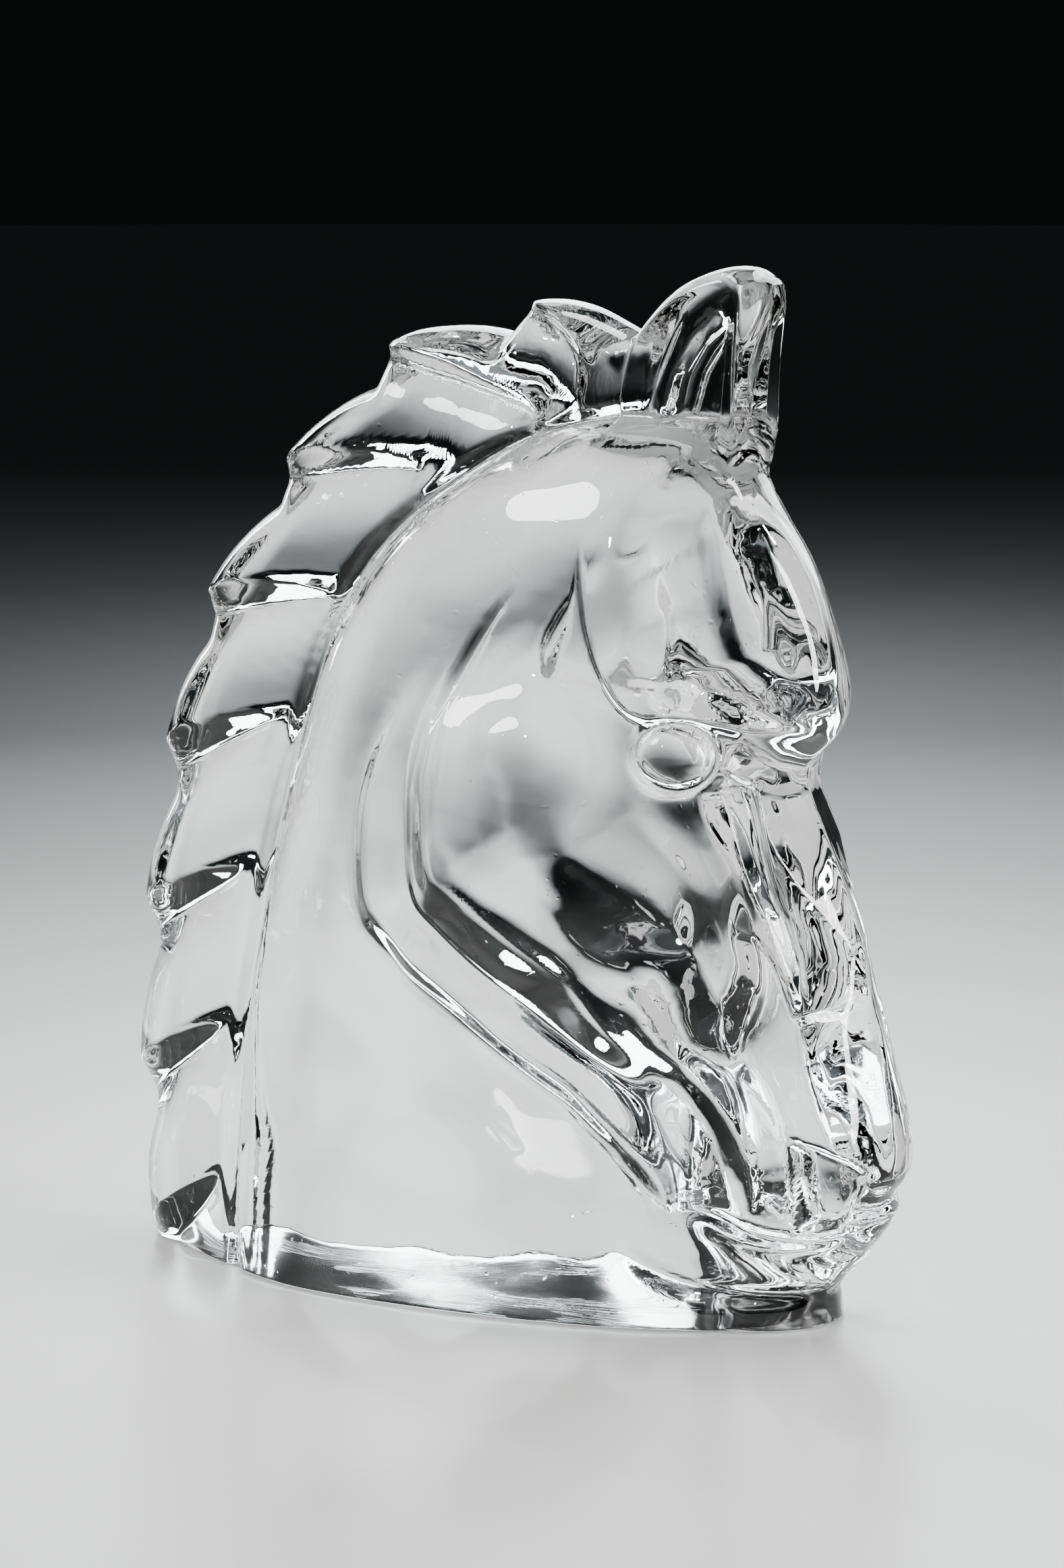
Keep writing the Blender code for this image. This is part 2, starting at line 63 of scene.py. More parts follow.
# The profile, from the foot's front over chin, lips, nose, brow and forehead to the ear
FACE = [
    (51.4, 0.0), (51.3, 4.6), (55.6, 9.4), (59.3, 14.8), (59.0, 17.6), (61.0, 21.0), (60.8, 27.0),
    (58.4, 37.0), (56.9, 44.0), (55.6, 51.3), (53.0, 58.2), (49.6, 65.5), (46.6, 73.6), (50.4, 79.0),
    (51.8, 84.0), (50.4, 91.0), (46.4, 101.0), (41.8, 108.0), (38.8, 113.0),
]
EAR = [
    (38.8, 113.0), (39.0, 126.0), (40.0, 136.2), (38.8, 139.0), (35.4, 140.0), (28.4, 137.3),
    (21.4, 130.8),
]
# Through the tips of the mane's locks, from the ear to the back of the foot
CREST = [
    (21.4, 130.8), (13.5, 134.8), (5.0, 135.2), (-8.0, 132.8), (-19.6, 127.7), (-35.2, 112.2),
    (-49.4, 91.2), (-56.5, 68.3), (-60.2, 45.3), (-61.2, 22.3), (-59.2, 0.0),
]

# The mane: locks that repeat along the crest, each ending in a tip over the next one
FIRST_TIP = 16.8
LOCK_PITCH = 23.6
NOTCH_DEPTH = (5.0, 2.2)  # at the top lock and at the foot, as in the next three pairs
NOTCH_SHARE = (0.17, 0.30)  # of a lock's pitch, from its tip to the notch under it
GROOVE_REACH = (14.0, 21.0)  # from the crest inward
GROOVE_SLANT = (1.4, 0.36)  # back along the crest, by how far it has come in
GROOVE_DEPTH = 3.0
MANE_EDGE = 8.4
MANE_SLANT = (0.33, 0.06)  # at the foot and at the top
EAR_SIDE = 6.8
NECK_STEP = 1.8
NECK_GROOVE = 1.6  # along the foot of the neck's step
NECK_FALL = (3.4, 6.5)  # how far the neck's side rounds off to the mane, at the foot and the top
NECK_ROUND = 16.0

TOP_STARTS = 80.0  # the height from which MANE_SLANT and NECK_FALL have their value for the top

# Carved lines: walking along one, the glass on the left stands proud of the glass on the right
NECK_EDGE = [
    (52.0, 113.0), (38.2, 116.8), (24.8, 118.4), (15.3, 117.4), (5.0, 113.8), (-9.6, 104.6),
    (-18.9, 94.7), (-25.3, 80.0), (-30.2, 62.7), (-33.2, 44.0), (-34.6, 26.0), (-34.8, 10.0),
    (-34.0, -3.0),
]
JAW_OUTER = [
    (1.8, 92.4), (-5.2, 83.5), (-10.6, 74.6), (-13.1, 66.5), (-13.6, 59.0), (-12.9, 53.4), (-10.4, 50.0),
    (-2.3, 44.3), (8.1, 36.8), (19.8, 30.1), (26.7, 24.5), (31.2, 18.2), (31.6, 11.1),
]
JAW_OUTER_WALL = [(0.0, 1.4), (0.2, 3.6), (0.45, 4.2), (0.6, 4.4), (1.0, 3.8)]
JAW_OUTER_STEP = 3.7
JAW_OUTER_REACH = 10.0
JAW_INNER = [
    (10.6, 97.4), (5.3, 90.5), (0.2, 82.8), (-2.2, 73.2), (-2.2, 63.0), (-0.6, 57.2), (3.0, 54.2),
    (9.4, 49.6), (18.2, 43.2), (26.4, 36.6), (31.4, 31.4),
]
JAW_INNER_WALL = [
    (0.0, 0.8), (0.15, 2.4), (0.3, 5.0), (0.45, 5.2), (0.6, 7.0), (0.8, 7.4), (1.0, 3.0),
]
JAW_INNER_STEP = 4.4
JAW_INNER_REACH = 13.0
BROW_EDGE = [
    (20.4, 106.5), (20.8, 99.4), (22.0, 92.4), (24.6, 86.4), (28.3, 82.2), (32.9, 80.9),
    (38.5, 81.3), (44.2, 80.2), (49.3, 82.6), (53.0, 85.0),
]
BROW_WALL = [(0.0, 0.8), (1.0, 0.8)]
BROW_STEP = 1.4
BROW_REACH = 8.0
EAR_BACK = [(26.0, 135.5), (22.8, 130.8), (20.8, 124.0), (20.4, 114.0)]
MOUTH = [
    (35.7, 15.9), (39.5, 15.4), (43.7, 13.3), (49.3, 12.6), (55.5, 13.4), (58.1, 15.6), (60.9, 18.0),
]
FOOT_EDGE = [(26.0, 12.5), (31.0, 7.6), (38.0, 5.2), (46.0, 4.7), (53.0, 4.6)]

# Leaf-shaped cuts, each with its half width and depth: beside the nose, on the jaw, in the ear,
# above the eye
FLUTE = [(41.6, 74.4), (44.3, 65.8), (46.6, 58.7), (49.9, 50.9), (51.7, 45.0)]
FLUTE_CUT = (1.5, 2.6)
JAW_FLUTE = [(10.8, 97.6), (6.6, 92.2), (2.8, 86.0), (-0.6, 78.6)]
JAW_FLUTE_CUT = (1.4, 1.8)
EAR_FLUTE = [(25.8, 121.4), (26.8, 126.5), (28.8, 130.8), (31.4, 134.2)]
EAR_FLUTE_CUT = (1.1, 1.1)
BROW_FLUTE = [(33.2, 98.0), (33.8, 92.0), (33.6, 86.0), (35.4, 82.6)]
BROW_FLUTE_CUT = (1.9, 1.7)

# Hollows: each is cut in inside its corners
NOSTRIL = [(50.2, 13.6), (56.6, 14.2), (61.0, 22.8), (58.3, 25.2), (50.0, 27.2)]
NOSTRIL_DEPTH = 4.0
NOSTRIL_WALL = 1.9
SOCKET = [(34.4, 82.6), (44.6, 80.8), (55.0, 86.2), (56.0, 92.8), (38.0, 95.0), (34.8, 92.0)]
SOCKET_DEPTH = 2.4
SOCKET_WALL = 4.5
EAR_HOLLOW = [
    (27.2, 119.2), (36.6, 118.3), (37.2, 126.0), (38.0, 133.2), (36.4, 134.0), (32.6, 131.0),
    (29.4, 126.2),
]
EAR_HOLLOW_DEPTH = 2.5
EAR_HOLLOW_WALL = 1.1

EYE = (35.2, 76.9)
EYE_LENGTH = 5.0
EYE_HEIGHT = 4.1
EYE_BULGE = 2.4
EYE_GROOVE = 1.3

# Half widths of neck and head that the rest swells between: along, up, half width
FOOT_WIDTH = 22.7
FOOT_MIDDLE = -12.0
FOOT_FRONT = 51.5
FOOT_BACK = -46.0
WIDTHS = [
    (-33, 12, 16.6), (-33, 30, 14.6), (-21, 34, 19.8), (0, 22, 21.2), (-32, 50, 12.8), (-29, 66, 11.8),
    (-19, 56, 18.4), (-25, 82, 11.6), (-13, 78, 17.4), (-14, 97, 12.2), (-4, 92, 16.8), (0, 109, 12.6),
    (6, 101, 15.8), (20, 112, 13.6), (36, 110, 12.4), (-4, 72, 20.2), (12, 70, 22.8), (24, 62, 20.8),
    (8, 54, 21.6), (4, 92, 18.4), (24, 96, 17.4), (38, 98, 14.6), (32, 86, 18.0), (46, 88, 13.2),
    (34, 66, 17.0), (44, 62, 13.0), (26, 46, 17.6), (42, 46, 13.4), (50, 44, 11.4), (12, 38, 19.0),
    (36, 30, 13.6), (50, 30, 11.4), (22, 22, 18.4), (38, 18, 12.8), (52, 12, 9.6), (42, 9, 10.8),
]
WIDTH_SPREAD = 6.5
EDGE_BLEND = 0.9
FAR_END = 1.45  # where a step's reach has faded out, in reaches from its line
FAR_FADE = 0.6

# The face's front by its height: edge radius, half width and slope of the front plane, then of the
# side planes
EDGE_OF_FACE = np.array([
    (0, 8.5, 20.0, 5.0, 40.0, 5.0), (5, 8.0, 20.0, 5.0, 40.0, 5.0), (10, 5.0, 5.5, 1.6, 40.0, 5.0),
    (20, 4.5, 6.5, 1.3, 40.0, 5.0), (32, 4.5, 6.0, 1.05, 40.0, 5.0), (38, 3.0, 4.2, 1.3, 12.0, 2.0),
    (44, 1.6, 1.9, 1.9, 1.9, 1.65), (50, 1.2, 0.8, 2.0, 0.6, 1.7), (58, 1.2, 0.8, 2.0, 2.4, 1.35),
    (65.5, 1.2, 0.8, 2.8, 5.6, 1.2), (73, 1.2, 0.8, 2.9, 6.3, 1.2), (77, 2.0, 3.0, 2.0, 12.0, 1.2),
    (80, 3.5, 5.0, 0.9, 40.0, 2.0), (92, 3.5, 4.8, 0.62, 40.0, 2.0), (112, 3.5, 5.5, 0.75, 40.0, 2.0),
]).T

# Radius of the profile's edge, by the way along the ear and by the height on the mane
EAR_ROUND = [(0.0, 2.0), (4.0, 0.8), (22.0, 0.9), (30.0, 2.2), (46.0, 2.4)]
MANE_ROUND = [(0.0, 8.0), (22.0, 8.0), (45.0, 6.5), (70.0, 5.0), (110.0, 4.0)]


def ramp(value):
    """0 below 0, 1 above 1 and a smooth rise between."""
    value = np.clip(value, 0.0, 1.0)
    return value * value * (3.0 - 2.0 * value)


def smooth_line(points, steps=8):
    """A polyline along the Catmull-Rom curve through the points."""
    knots = np.array(points, float)
    knots = np.vstack([2 * knots[0] - knots[1], knots, 2 * knots[-1] - knots[-2]])
    line = []
    for before, start, end, after in zip(knots, knots[1:], knots[2:], knots[3:]):
        for t in np.arange(steps) / steps:
            line.append(0.5 * (2 * start + (end - before) * t
                               + (2 * before - 5 * start + 4 * end - after) * t ** 2
                               + (3 * start - before - 3 * end + after) * t ** 3))
    line.append(knots[-2])
    return np.array(line)


def soft_least(one, other, blend):
    """The lesser of two, with the corner between them rounded."""
    near = np.clip(1.0 - np.abs(one - other) / blend, 0.0, 1.0)
    return np.minimum(one, other) - 0.25 * blend * near ** 2


def lengths_along(line):
    steps = np.hypot(*np.diff(line, axis=0).T)
    return np.concatenate([[0.0], np.cumsum(steps)])


def beside(places, line):
    """Distance of each place to a line, positive on its left, and the length along the line."""
    start = line[:-1]
    step = np.diff(line, axis=0)
    size = np.maximum((step ** 2).sum(1), 1e-12)
    before = lengths_along(line)[:-1]
    distance = np.empty(len(places))
    along = np.empty(len(places))
    for first in range(0, len(places), BLOCK):
        block = slice(first, first + BLOCK)
        off = places[block, None, :] - start
        share = np.clip((off * step).sum(2) / size, 0.0, 1.0)
        gap = off - share[:, :, None] * step
        away = (gap ** 2).sum(2)
        nearest = away.argmin(1)
        rows = np.arange(len(nearest))
        side = step[nearest, 0] * off[rows, nearest, 1] - step[nearest, 1] * off[rows, nearest, 0]
        distance[block] = np.sqrt(away[rows, nearest]) * np.where(side < 0, -1.0, 1.0)
        along[block] = before[nearest] + share[rows, nearest] * np.sqrt(size[nearest])
    return distance, along


def lock_fall(share, drop, ease):
    """How far a lock has fallen back: 0 at its tip, 1 at the notch, easing out to the next tip."""
    share = share % 1.0
    back = np.clip((1.0 - share) / (1.0 - drop), 0.0, 1.0) ** ease
    return np.where(share < drop, share / drop, back)


def down_the_mane(along, ends):
    """A size that eases from its value at the top lock to its value at the foot."""
    share = np.exp(-np.clip(along - FIRST_TIP, 0.0, None) / (2.4 * LOCK_PITCH))
    return ends[1] + (ends[0] - ends[1]) * share


def mane_line():
    """The mane's profile: the crest, notched under each lock's tip."""
    crest = smooth_line(CREST, 28)
    along = lengths_along(crest)
    step = np.gradient(crest, axis=0)
    inward = np.stack([-step[:, 1], step[:, 0]], 1) / np.hypot(*step.T)[:, None]
    first = ramp(along / FIRST_TIP)
    last = 1.0 - ramp((along - FIRST_TIP - 6.3 * LOCK_PITCH) / (0.5 * LOCK_PITCH))
    fall = lock_fall((along - FIRST_TIP) / LOCK_PITCH, down_the_mane(along, NOTCH_SHARE), 1.8)
    line = crest + inward * (down_the_mane(along, NOTCH_DEPTH) * fall * first * last)[:, None]
    return np.maximum(line, (-1e9, 0.0))


def profile():
    """The whole profile, with the radius that rounds its edge at each point."""
    face = smooth_line(FACE)
    ear = smooth_line(EAR)
    mane = mane_line()
    face_round = np.interp(face[:, 1], *EDGE_OF_FACE[:2])
    ear_round = np.interp(lengths_along(ear), *zip(*EAR_ROUND))
    mane_round = np.interp(mane[:, 1], *zip(*MANE_ROUND))
    line = np.vstack([face, ear[1:], mane[1:]])
    return line, np.concatenate([face_round, ear_round[1:], mane_round[1:]])


def wedge(places):
    """The face's front: a front plane, and side planes that meet it in a crisp edge."""
    tip = max(point[1] for point in EAR)
    line = smooth_line(FACE + [(FACE[-1][0], 0.5 * (FACE[-1][1] + tip)), (FACE[-1][0], tip)])
    edge, along = beside(places, line)
    height = np.interp(along, lengths_along(line), line[:, 1])
    bar, slope, side, side_slope = [np.interp(height, *EDGE_OF_FACE[[0, row]]) for row in (2, 3, 4, 5)]
    return np.minimum(bar + slope * np.abs(edge), side + side_slope * np.abs(edge))


def stroke(places, points, fade_in, fade_out):
    """Distance to a carved line, the share of it that is behind, and its strength, faded at its ends."""
    line = smooth_line(points)
    distance, along = beside(places, line)
    share = along / lengths_along(line)[-1]
    return distance, share, ramp(share / fade_in) * ramp((1.0 - share) / fade_out)


def edge_cut(places, points, wall, jump, reach, fade_in, fade_out):
    """A step along a line, with a wall as wide as given at shares of the line and crisp edges."""
    distance, share, strength = stroke(places, points, fade_in, fade_out)
    half = 0.5 * np.interp(share, *zip(*wall))
    rise = -soft_least(-soft_least(distance, half, EDGE_BLEND), half, EDGE_BLEND) / (2.0 * half)
    far = np.abs(distance) / reach
    return jump * strength * rise * np.exp(-far ** 1.5) * ramp((FAR_END - far) / FAR_FADE)


def groove(places, points, depth, width, fade_in, fade_out):
    """A round-bottomed groove along a line."""
    distance, share, strength = stroke(places, points, fade_in, fade_out)
    return -depth * strength * np.exp(-(distance / width) ** 2)


def leaf(places, points, cut, taper_in, taper_out):
    """A scoop with crisp sides along a line, narrowing to a point over those shares of it."""
    half, depth = cut
    distance, share, _ = stroke(places, points, 1.0, 1.0)
    narrow = np.clip(share / taper_in, 0.0, 1.0) ** 0.6
    narrow *= np.clip((1.0 - share) / taper_out, 0.0, 1.0) ** 0.6
    inside = np.clip(1.0 - (distance / np.maximum(half * narrow, 1e-3)) ** 2, 0.0, 1.0)
    return -depth * narrow * inside


def hollow(places, corners, depth, wall, round_bottom):
    """Glass taken away inside corners that run anticlockwise, with straight or with hollowed walls."""
    inside = np.full(len(places), 1e9)
    for start, end in zip(corners, corners[1:] + corners[:1]):
        step = np.subtract(end, start)
        off = places - start
        inside = np.minimum(inside, (step[0] * off[:, 1] - step[1] * off[:, 0]) / np.hypot(*step))
    down = np.clip(inside / wall, 0.0, 1.0)
    return -depth * (1.0 - (1.0 - down) ** 2 if round_bottom else down)


def eye_dome(places):
    """The eyeball with the fine groove round it."""
    x, z = (places - EYE).T
    share = np.hypot(x / EYE_LENGTH, z / EYE_HEIGHT)
    dome = EYE_BULGE * np.sqrt(np.clip(1.0 - share ** 2, 0.0, 1.0))
    return dome - EYE_GROOVE * np.exp(-((share - 1.08) / 0.13) ** 2)


def foot_plan(x):
    """The half width of the foot: a longer half oval before its middle and a shorter one behind."""
    before = np.clip((x - FOOT_MIDDLE) / (FOOT_FRONT - FOOT_MIDDLE), 0.0, 1.0) ** 2.2
    behind = np.clip((FOOT_MIDDLE - x) / (FOOT_MIDDLE - FOOT_BACK), 0.0, 1.0) ** 2.0
    return FOOT_WIDTH * np.sqrt(1.0 - before - behind)


def neck_fall(places, neck):
    """How far the neck's side has rounded off, by the distance in from its line."""
    full = NECK_FALL[0] + (NECK_FALL[1] - NECK_FALL[0]) * ramp(places[:, 1] / TOP_STARTS)
    return full * (1.0 - np.clip(neck / NECK_ROUND, 0.0, 1.0)) ** 2


def swell(places, neck):
    """The smooth body of neck and head, blended from the half widths and rounded off toward the mane."""
    anchors = WIDTHS + [(x, 1.0, foot_plan(x)) for x in range(-32, 50, 9)]
    anchors = np.array(anchors, float)
    anchors[:, 2] += neck_fall(anchors, beside(anchors[:, :2], smooth_line(NECK_EDGE))[0])
    total = np.zeros(len(places))
    weight = np.full(len(places), 1e-9)
    for x, z, width in anchors:
        near = np.exp(-((places[:, 0] - x) ** 2 + (places[:, 1] - z) ** 2) / (2 * WIDTH_SPREAD ** 2))
        total += near * width
        weight += near
    return total / weight - neck_fall(places, neck)


def mane_width(places):
    """The mane's side, with the slanted grooves that part its locks."""
    depth, along = beside(places, smooth_line(CREST))
    depth = np.clip(depth, 0.0, None)
    groove_reach = GROOVE_REACH[1] + (GROOVE_REACH[0] - GROOVE_REACH[1]) * np.exp(-along / LOCK_PITCH)
    inner = np.clip(depth / groove_reach, 0.0, 1.0)
    slant = down_the_mane(along, GROOVE_SLANT) * GROOVE_REACH[1]
    place = (along + slant * inner * (1.4 - 0.4 * inner) - FIRST_TIP) / LOCK_PITCH
    drop = 0.03 + (down_the_mane(along, NOTCH_SHARE) - 0.05) * (1.0 - inner ** 2)
    fall = lock_fall(place, drop, 3.2) * (1.0 - inner ** 5) * ramp(along / 14.0)
    slant = MANE_SLANT[0] + (MANE_SLANT[1] - MANE_SLANT[0]) * ramp(places[:, 1] / TOP_STARTS)
    slab = MANE_EDGE + slant * depth - 3.0 * (1.0 - ramp(along / 22.0))
    return slab - GROOVE_DEPTH * fall


def ear_width(places):
    """The ear's side: its hollow, and the slim flute between that and the back rim."""
    side = EAR_SIDE + hollow(places, EAR_HOLLOW, EAR_HOLLOW_DEPTH, EAR_HOLLOW_WALL, False)
    return side + leaf(places, EAR_FLUTE, EAR_FLUTE_CUT, 0.4, 0.4)


def core_width(places, neck):
    """Neck and head together, with the lines that are cut into them."""
    width = swell(places, neck)
    width += edge_cut(places, JAW_OUTER, JAW_OUTER_WALL, JAW_OUTER_STEP, JAW_OUTER_REACH, 0.35, 0.08)
    width += edge_cut(places, JAW_INNER, JAW_INNER_WALL, JAW_INNER_STEP, JAW_INNER_REACH, 0.5, 0.12)
    width += edge_cut(places, BROW_EDGE, BROW_WALL, BROW_STEP, BROW_REACH, 0.2, 0.3)
    width += groove(places, BROW_EDGE, 0.5, 0.5, 0.2, 0.6)
    width += groove(places, MOUTH, 1.6, 0.8, 0.25, 0.01)
    width += groove(places, FOOT_EDGE, 1.4, 1.2, 0.3, 0.01)
    width += hollow(places, SOCKET, SOCKET_DEPTH, SOCKET_WALL, True)
    width += leaf(places, JAW_FLUTE, JAW_FLUTE_CUT, 0.6, 0.3)
    width += leaf(places, BROW_FLUTE, BROW_FLUTE_CUT, 0.7, 0.15)
    width += hollow(places, NOSTRIL, NOSTRIL_DEPTH, NOSTRIL_WALL, False)
    return width + eye_dome(places)


def half_width(places):
    """How wide the glass is to each side of the mirror plane at each place of the profile."""
    outline, rounding = profile()
    edge, along = beside(places, outline)
    radius = np.interp(along, lengths_along(outline), rounding)
    neck, _ = beside(places, smooth_line(NECK_EDGE))
    ear, _ = beside(places, smooth_line(EAR_BACK))
    fin = mane_width(places) - NECK_GROOVE * np.exp(-((neck + NECK_STEP) / 1.1) ** 2)
    fin += (ear_width(places) - fin) * ramp(ear / 1.0)
    core = soft_least(core_width(places, neck), wedge(places), 0.8)
    core += leaf(places, FLUTE, FLUTE_CUT, 0.05, 1.0)
    wall = np.maximum(soft_least(neck / NECK_STEP + 1.0, 1.0, 1.0), 0.0)
    step = 0.85 * wall + 0.15 * ramp(neck / 7.0 + 0.45)
    body = fin + (core - fin) * step
    into = np.clip(np.abs(edge) / radius, 0.0, 1.0)
    return np.maximum(body, 0.8) * (1.0 - (1.0 - into) ** 2.2) ** (1.0 / 2.2)


def resample(line, count):
    along = lengths_along(line)
    wanted = np.linspace(0.0, along[-1], count)
    return np.stack([np.interp(wanted, along, line[:, axis]) for axis in (0, 1)], 1)


def rim_line():
    """The rim that the rows of faces end on: profile on three sides of a square, foot on one."""
    outline = profile()[0]
    around = resample(outline, 6 * RINGS + 1)
    under = resample(np.array([around[-1], around[0]]), 2 * RINGS + 1)
    rim = np.vstack([around[:-1], under[:-1]])
    turn = np.unwrap(np.arctan2(*(rim - CHEEK).T[::-1]))
    turn = np.maximum.accumulate(turn + np.arange(len(turn)) * 1e-7)
    reach = np.hypot(*(rim - CHEEK).T)
    return CHEEK + np.stack([np.cos(turn) * reach, np.sin(turn) * reach], 1)


def spread_rows(rim):
    """Shares of the way from the cheek to the rim that space the rows evenly over the relief."""
    fine = np.linspace(0.0, 1.0, FINE_ROWS)
    tried = rim[::SPOKES_TRIED]
    places = CHEEK + (tried - CHEEK)[:, None, :] * fine[None, :, None]
    width = half_width(places.reshape(-1, 2)).reshape(len(tried), len(fine))
    run = np.hypot(*(tried - CHEEK).T)[:, None] * np.diff(fine)
    steps = np.sqrt(run ** 2 + np.diff(width, axis=1) ** 2)
    steps = sum(np.roll(steps, turn, axis=0) for turn in range(-2, 3)) / 5.0
    along = np.concatenate([np.zeros((len(tried), 1)), np.cumsum(steps, axis=1)], axis=1)
    along /= along[:, -1:]
    wanted = np.linspace(0.0, 1.0, RINGS + 1)
    rows = np.stack([np.interp(wanted, line, fine) for line in along])
    low, rest = np.divmod(np.arange(len(rim)), SPOKES_TRIED)
    part = (rest / SPOKES_TRIED)[:, None]
    return rows[low] * (1.0 - part) + rows[(low + 1) % len(rows)] * part


def relief_side(bm):
    """One side of the glass: a square grid laid over the profile and raised to its half width."""
    outline = profile()[0]
    bmesh.ops.create_grid(bm, x_segments=2 * RINGS, y_segments=2 * RINGS, size=RINGS)
    bm.verts.ensure_lookup_table()
    flat = np.array([vert.co[:2] for vert in bm.verts]).round()
    ring = np.abs(flat).max(1).round().astype(int)
    size = np.maximum(ring, 1)
    u, v = flat[:, 0] / size, flat[:, 1] / size
    side = np.select([u >= 1 - 1e-6, v >= 1 - 1e-6, u <= -1 + 1e-6], [1 + v, 3 - u, 5 - v], 7 + u)
    spoke = side * RINGS % (8 * RINGS)
    rim = rim_line()
    rows = spread_rows(rim)
    low = np.floor(spoke).astype(int) % len(rim)
    high = (low + 1) % len(rim)
    part = (spoke - np.floor(spoke))[:, None]
    toward = (rim[low] * (1 - part) + rim[high] * part) - CHEEK
    reach = rows[low, ring] * (1 - part[:, 0]) + rows[high, ring] * part[:, 0]
    places = CHEEK + toward * reach[:, None]
    width = half_width(places)
    width[(ring == RINGS) & (spoke <= 6 * RINGS)] = 0.0
    low_x, high_x = outline[:, 0].min(), outline[:, 0].max()
    along = (places[:, 0] - 0.5 * (low_x + high_x)) * LENGTH / (high_x - low_x)
    across = width * 0.5 * WIDTH / width.max()
    up = places[:, 1] * HEIGHT / outline[:, 1].max()
    for vert, *place in zip(bm.verts, along, across, up):
        vert.co = place


def close_underside(bm):
    """The flat underside with its polished bevel, in the second material."""
    rim = [edge for edge in bm.edges if edge.is_boundary]
    underside = bmesh.ops.contextual_create(bm, geom=rim)["faces"][0]
    bmesh.ops.recalc_face_normals(bm, faces=bm.faces)
    bmesh.ops.bevel(bm, geom=underside.edges[:], offset=FOOT_CHAMFER, offset_type="OFFSET",
                    segments=FOOT_CHAMFER_ROWS, profile=0.5, affect="EDGES", clamp_overlap=True,
                    material=-1)
    for face in bm.faces:
        face.smooth = True
        if len(face.verts) > 4:
            face.material_index = 1
            face.smooth = False
    bmesh.ops.triangulate(bm, faces=[face for face in bm.faces if len(face.verts) > 4])


def horse_head():
    bm = bmesh.new()
    relief_side(bm)
    bmesh.ops.mirror(bm, geom=bm.verts[:] + bm.edges[:] + bm.faces[:], axis="Y", merge_dist=JOINED)
    close_underside(bm)
    mesh = bpy.data.meshes.new("horse_head_glass")
    bm.to_mesh(mesh)
    bm.free()
    piece = bpy.data.objects.new("horse_head_glass", mesh)
    bpy.context.scene.collection.objects.link(piece)
    return piece


# The glass
CRYSTAL_IOR = 1.545
HAIRLINE_SHARP = 40.0
HAIRLINE_BARE = 0.52  # more of the glass is without hairlines as this rises
SPECK_BARE = 0.79  # fewer specks as this rises

# How deep the pattern on the glass is, in metres at full strength
WAVE_HEIGHT = 0.00030
DENT_DEPTH = 0.00003
FLOW_HEIGHT = 0.00004
HAIRLINE_DEPTH = 0.0000006
SPECK_DEPTH = 0.0004


class Wire:
    """A shader socket on which Python's operators add Math nodes."""

    def __init__(self, tree, socket):
        self.tree = tree
        self.socket = socket

    def math(self, operation, other=0.0):
        return node(self.tree, "ShaderNodeMath", {"operation": operation}, {0: self, 1: other})

    def __add__(self, other):
        return self.math("ADD", other)

    def __radd__(self, other):
        return self.math("ADD", other)

    def __sub__(self, other):
        return self.math("SUBTRACT", other)

    def __rsub__(self, other):
        return node(self.tree, "ShaderNodeMath", {"operation": "SUBTRACT"}, {0: other, 1: self})

    def __mul__(self, other):
        return self.math("MULTIPLY", other)

    def __rmul__(self, other):
        return self.math("MULTIPLY", other)


def node(tree, kind, settings, sockets, output=0):
    """A node with its settings made first, then the values or links of its sockets."""
    made = tree.nodes.new(kind)
    for name, value in settings.items():
        if name == "stops":
            ramp_stops(made.color_ramp, value)
        else:
            setattr(made, name, value)
    for name, value in sockets.items():
        if isinstance(value, Wire):
            tree.links.new(value.socket, made.inputs[name])
        else:
            made.inputs[name].default_value = value
    return Wire(tree, made.outputs[output])


def ramp_stops(colour_ramp, stops):
    while len(colour_ramp.elements) < len(stops):
        colour_ramp.elements.new(0.5)
    for element, (place, colour) in zip(colour_ramp.elements, stops):
        element.position = place
        element.color = colour


def new_material(name):
    material = bpy.data.materials.new(name)
    material.use_nodes = True
    tree = material.node_tree
    return material, tree, tree.nodes["Principled BSDF"]


def place_of(tree, scale=(1.0, 1.0, 1.0), turn=(0.0, 0.0, 0.0)):
    """The place on the piece, stretched and turned for a pattern."""
    here = node(tree, "ShaderNodeTexCoord", {}, {}, output="Object")
    return node(tree, "ShaderNodeMapping", {}, {"Vector": here, "Rotation": turn, "Scale": scale})


def noise(tree, place, detail):
    """Cloudy values about one half, a wave for each unit of the place."""
    return node(tree, "ShaderNodeTexNoise", {}, {"Vector": place, "Scale": 1.0, "Detail": detail})


def hairlines(tree, turn, length, gap):
    """Fine scratches that run one way: 1 on a scratch, 0 off it."""
    place = place_of(tree, (1.0 / length, 1.0 / gap, 1.0 / gap), turn)
    lines = noise(tree, place, 0.0)
    where = noise(tree, place_of(tree, (60.0, 60.0, 60.0)), 1.0)
    fine = 1.0 - (lines - 0.5).math("ABSOLUTE") * HAIRLINE_SHARP
    return fine.math("MAXIMUM", 0.0) * (where - HAIRLINE_BARE).math("GREATER_THAN", 0.0)


